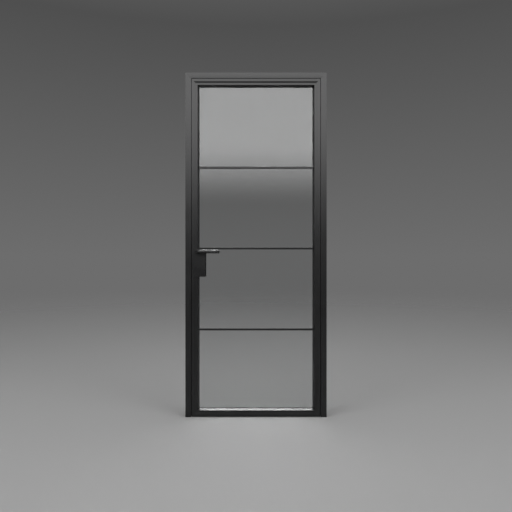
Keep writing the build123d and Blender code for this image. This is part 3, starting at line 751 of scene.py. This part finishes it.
@dataclass
class Glazing:
    """The pane, its gaskets and blocks, and the bars on both faces."""

    plain: tuple[str, ...] = (
        "glass_pane",
        "front_gasket",
        "rear_gasket",
        "notch_gasket",
        "setting_blocks",
        "side_blocks",
    )
    levels: tuple[str, ...] = ("lower", "middle", "upper")

    def build(self) -> None:
        """Dresses the pane and its rubber, and eases the bars."""
        for node in self.plain:
            dress(node)
        for level in self.levels:
            for side in ("front", "rear"):
                ease(f"{side}_{level}_bar", Edge.SNAP_BEAD)


@dataclass
class Hinges:
    """Three bolt-on hinges with their pins, washers and screws."""

    levels: tuple[str, ...] = ("bottom", "middle", "top")
    screws: tuple[str, ...] = ("frame_hinge_screws", "leaf_hinge_screws")
    round_turn_limit: float = 22.0

    def build(self) -> None:
        """Eases the hinge halves, pins, washers and screws."""
        for level in self.levels:
            for half in ("frame", "leaf"):
                ease(f"{level}_hinge_{half}_half", Edge.CAST, turn_limit=self.round_turn_limit)
        ease("hinge_pins", Edge.TURNED, turn_limit=self.round_turn_limit)
        ease("hinge_washers", Edge.SCREW_HEAD, turn_limit=self.round_turn_limit)
        for node in self.screws:
            ease(node, Edge.SCREW_HEAD, turn_limit=self.round_turn_limit)


@dataclass
class LockSet:
    """The lock plates, levers, lock case and its mechanism, the forend and the strike."""

    cut_plates: tuple[str, ...] = (
        "front_lock_plate",
        "rear_lock_plate",
        "forend",
        "strike_plate",
        "lock_box",
    )
    castings: tuple[str, ...] = ("front_lever", "rear_lever", "latch_bolt")
    turned: tuple[str, ...] = ("front_bush", "rear_bush")
    screws: tuple[str, ...] = ("lock_plate_screws", "forend_screws", "strike_screws", "lock_box_screws")
    inside: tuple[str, ...] = (
        "lock_case",
        "lock_cover",
        "forend_blocks",
        "rocker_pin",
        "spindle",
        "follower",
        "lever_grub_screws",
        "rocker",
    )
    round_turn_limit: float = 22.0
    wire_turn_limit: float = 50.0
    latch_throw_mm: float = 11.0

    def build(self) -> None:
        """Eases what shows of the lock, dresses what is inside it and makes its spring."""
        edges = {
            Edge.CUT_PLATE: self.cut_plates,
            Edge.CAST: self.castings,
            Edge.TURNED: self.turned,
            Edge.SCREW_HEAD: self.screws,
        }
        for edge, nodes in edges.items():
            for node in nodes:
                ease(node, edge, turn_limit=self.round_turn_limit)
        for node in self.inside:
            dress(node)
        self.spring()

    def spring(self) -> None:
        """Makes the latch spring's coil from its CAD node, with a mesh of its own."""
        wire = merged_copy("latch_spring")
        spring = add_piece("latch_spring_coil", wire, "latch_spring", self.wire_turn_limit)
        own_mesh(spring)


@dataclass(frozen=True)
class PaintedFloor(Finish):
    """Plain pale grey floor in matt paint. It fades out away from the door, so that no horizon shows."""

    colour: str = "#9C9C9C"
    fade_start: float = 2.0
    fade_end: float = 13.0

    def surface(self, tree: bpy.types.NodeTree) -> bpy.types.NodeSocket:
        """Matt paint that fades to the studio's backdrop with distance.

        Args:
            tree: The material's tree.

        Returns:
            The shader socket.
        """
        paint = add_node(tree, "BsdfDiffuse", {"Color": linear(self.colour)})
        clear = add_node(tree, "BsdfTransparent")
        place = add_node(tree, "TexCoord")
        distance = add_node(tree, "VectorMath", {"operation": "LENGTH"}, {0: place.outputs["Object"]})
        fade = self.smooth_step(tree, distance.outputs["Value"], (self.fade_start, self.fade_end))
        mixed = add_node(
            tree,
            "MixShader",
            links={0: fade, 1: paint.outputs["BSDF"], 2: clear.outputs["BSDF"]},
        )
        return mixed.outputs["Shader"]


@dataclass(frozen=True)
class SoftPanel(Finish):
    """A studio light panel, which shines from its front alone. Its glow grows smoothly from one height to
    another, and may fade towards its left and right edges. It is never seen straight through the pane.

    The two heights and the two distances from the door's middle plane are in metres. By default the heights
    lie below every panel and the distances beyond it, so that such a panel glows evenly.
    """

    radiance: float = 3.0
    faint: float = 0.0
    dark_below: float = -2.0
    full_above: float = -1.0
    full_within: float = 90.0
    dark_beyond: float = 100.0

    def surface(self, tree: bpy.types.NodeTree) -> bpy.types.NodeSocket:
        """An emitter that fades to nothing at its edges, on its back, and for rays straight through the pane.

        Args:
            tree: The material's tree.

        Returns:
            The shader socket.
        """
        path = add_node(tree, "LightPath").outputs
        # Depths are whole numbers. A ray that only went through the pane has none beside its transmissions.
        other_depth = self.combined(tree, "SUBTRACT", path["Ray Depth"], path["Transmission Depth"])
        straight = self.combined(tree, "LESS_THAN", other_depth, 0.5)
        hidden = self.combined(tree, "MULTIPLY", path["Is Transmission Ray"], straight)
        backfacing = add_node(tree, "NewGeometry").outputs["Backfacing"]
        unseen = self.combined(tree, "MAXIMUM", hidden, backfacing)
        seen = self.combined(tree, "SUBTRACT", 1.0, unseen)
        place = add_node(tree, "TexCoord")
        apart = add_node(tree, "SeparateXYZ", links={"Vector": place.outputs["Object"]}).outputs
        rise = self.smooth_step(
            tree, apart["Z"], (self.dark_below, self.full_above), (self.faint, self.radiance)
        )
        aside = add_node(tree, "Math", {"operation": "ABSOLUTE"}, {0: apart["X"]}).outputs["Value"]
        edge = self.smooth_step(tree, aside, (self.full_within, self.dark_beyond), (1.0, 0.0))
        shown = self.combined(tree, "MULTIPLY", edge, seen)
        lamp = add_node(tree, "Emission", {"Color": linear("#FFFFFF")}, {"Strength": rise})
        clear = add_node(tree, "BsdfTransparent")
        mixed = add_node(
            tree,
            "MixShader",
            links={0: shown, 1: clear.outputs["BSDF"], 2: lamp.outputs["Emission"]},
        )
        return mixed.outputs["Shader"]

    def combined(
        self,
        tree: bpy.types.NodeTree,
        operation: str,
        first: bpy.types.NodeSocket | float,
        second: bpy.types.NodeSocket | float,
    ) -> bpy.types.NodeSocket:
        """Combines two values by a sum of arithmetic.

        Args:
            tree: The material's tree.
            operation: Blender's name of the sum.
            first: A socket or a number.
            second: A socket or a number.

        Returns:
            The result.
        """
        values = {0: first, 1: second}
        numbers = {place: value for place, value in values.items() if isinstance(value, float)}
        sockets = {place: value for place, value in values.items() if place not in numbers}
        return add_node(tree, "Math", {"operation": operation, **numbers}, sockets).outputs["Value"]


@dataclass(frozen=True)
class PanelPlace:
    """Where a light panel hangs: its middle, the point that it faces, and its size."""

    middle: tuple[float, float, float]
    faces: tuple[float, float, float]
    width: float
    height: float

    def matrix(self) -> Matrix:
        """Turns a flat one-metre square into the panel, with its height as near upright as it goes."""
        aim = Vector(self.faces) - Vector(self.middle)
        size = Matrix.Diagonal((self.width, self.height, 1.0, 1.0))
        return Matrix.Translation(self.middle) @ aim.to_track_quat("Z", "Y").to_matrix().to_4x4() @ size


@dataclass
class Studio:
    """The plain floor, the soft light and the camera. None of it is part of the door."""

    floor_radius: float = 14.0
    floor_segments: int = 96
    camera_distance: float = 3.0476
    camera_height: float = 0.987
    camera_tilt_degrees: float = 90.0
    lens_mm: float = 35.0
    sensor_mm: float = 36.0
    front: PanelPlace = PanelPlace(middle=(0.0, -6.0, 4.0), faces=(0.0, 0.0, 4.0), width=14.0, height=7.0)
    front_glow: SoftPanel = SoftPanel(
        "front_panel_glow",
        radiance=3.5,
        faint=0.15,
        dark_below=1.9,
        full_above=3.1,
        full_within=2.0,
        dark_beyond=7.0,
    )
    rear: PanelPlace = PanelPlace(middle=(0.0, 6.0, 4.0), faces=(0.0, 0.0, 4.0), width=14.0, height=7.0)
    rear_glow: SoftPanel = SoftPanel(
        "rear_panel_glow",
        radiance=1.6,
        faint=0.15,
        dark_below=1.9,
        full_above=3.1,
        full_within=2.0,
        dark_beyond=7.0,
    )
    lip: PanelPlace = PanelPlace(middle=(0.0, 2.3, 4.6), faces=(0.0, 0.0, 0.1), width=2.6, height=1.2)
    lip_glow: SoftPanel = SoftPanel("lip_panel_glow", radiance=24.0)
    overhead: PanelPlace = PanelPlace(middle=(0.0, -1.2, 4.4), faces=(0.0, -1.0, 0.0), width=2.4, height=1.6)
    overhead_glow: SoftPanel = SoftPanel("overhead_panel_glow", radiance=4.2)
    side: PanelPlace = PanelPlace(middle=(4.0, -3.5, 2.4), faces=(0.0, 0.0, 0.8), width=3.0, height=3.2)
    side_glow: SoftPanel = SoftPanel("side_panel_glow", radiance=3.7)
    backdrop_stops: tuple[tuple[float, str], ...] = (
        (0.0, "#6D6D6D"),
        (0.42, "#4F4F4F"),
        (0.6, "#6A6A6A"),
        (0.8, "#F2F2F2"),
    )

    def build(self) -> None:
        """Makes the floor, the panels, the backdrop and the camera."""
        self.floor()
        self.panel("front_soft_panel", self.front, self.front_glow, PanelUse.MIRROR)
        self.panel("rear_soft_panel", self.rear, self.rear_glow, PanelUse.MIRROR)
        self.panel("lip_soft_panel", self.lip, self.lip_glow, PanelUse.MIRROR)
        self.panel("overhead_soft_panel", self.overhead, self.overhead_glow, PanelUse.BOTH)
        x, y, z = self.side.middle
        for name, sign in (("right_soft_panel", 1), ("left_soft_panel", -1)):
            place = PanelPlace((sign * x, y, z), self.side.faces, self.side.width, self.side.height)
            self.panel(name, place, self.side_glow, PanelUse.LIGHT)
        self.backdrop()
        self.camera()

    def floor(self) -> None:
        """A round plain floor."""
        shape = bmesh.new()
        bmesh.ops.create_circle(shape, cap_ends=True, radius=self.floor_radius, segments=self.floor_segments)
        self.stage_object("studio_floor", shape, PaintedFloor("pale_grey_floor_paint"))

    def panel(self, name: str, place: PanelPlace, glow: SoftPanel, use: PanelUse) -> None:
        """A flat light panel, which the camera doesn't see.

        Args:
            name: The object's name.
            place: Where it hangs.
            glow: Its finish.
            use: Whether it lights, is mirrored, or both.
        """
        shape = bmesh.new()
        bmesh.ops.create_grid(
            shape, x_segments=1, y_segments=1, size=HALF_OF_UNIT_SQUARE, matrix=place.matrix()
        )
        piece = self.stage_object(name, shape, glow)
        piece.visible_camera = False
        piece.visible_diffuse, piece.visible_glossy = use.value
        piece.visible_transmission = piece.visible_glossy
        piece.visible_shadow = False

    def stage_object(self, name: str, shape: bmesh.types.BMesh, finish: Finish) -> bpy.types.Object:
        """Links a stage object with its finish.

        Args:
            name: The object's name.
            shape: Its mesh, which is freed.
            finish: Its finish.

        Returns:
            The new object.
        """
        mesh = bpy.data.meshes.new(name)
        shape.to_mesh(mesh)
        shape.free()
        mesh.materials.append(finish.material())
        piece = bpy.data.objects.new(name, mesh)
        bpy.context.scene.collection.objects.link(piece)
        return piece

    def backdrop(self) -> None:
        """A grey world: mid grey at the horizon, darker above the door, and a soft bright dome overhead. The
        stops' places are the height of the direction looked in, 0 at the horizon and 1 straight up."""
        world = bpy.data.worlds.new("grey_backdrop")
        bpy.context.scene.world = world
        world.use_nodes = True
        tree = world.node_tree
        tree.nodes.clear()
        place = add_node(tree, "TexCoord")
        apart = add_node(tree, "SeparateXYZ", links={"Vector": place.outputs["Generated"]})
        colour = add_ramp(tree, apart.outputs["Z"], dict(self.backdrop_stops))
        light = add_node(tree, "Background", {"Strength": 1.0}, {"Color": colour})
        output = add_node(tree, "OutputWorld")
        tree.links.new(light.outputs["Background"], output.inputs["Surface"])

    def camera(self) -> None:
        """A level camera straight in front of the door."""
        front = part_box("hinge_jamb")[0].y
        data = bpy.data.cameras.new("door_camera")
        data.lens = self.lens_mm
        data.sensor_width = self.sensor_mm
        camera = bpy.data.objects.new("door_camera", data)
        camera.location = (0.0, front - self.camera_distance, self.camera_height)
        camera.rotation_euler = (math.radians(self.camera_tilt_degrees), 0, 0)
        bpy.context.scene.collection.objects.link(camera)
        bpy.context.scene.camera = camera


def main() -> None:
    """Builds the door's sub-assemblies in order, then the studio."""
    logging.basicConfig(level=logging.INFO, format="%(message)s")
    bpy.context.scene.view_settings.view_transform = "Standard"
    for assembly in (DoorFrame(), LeafFrame(), Glazing(), Hinges(), LockSet(), Studio()):
        log.info("sub-assembly %s", type(assembly).__name__)
        assembly.build()


if __name__ == "__main__":
    main()
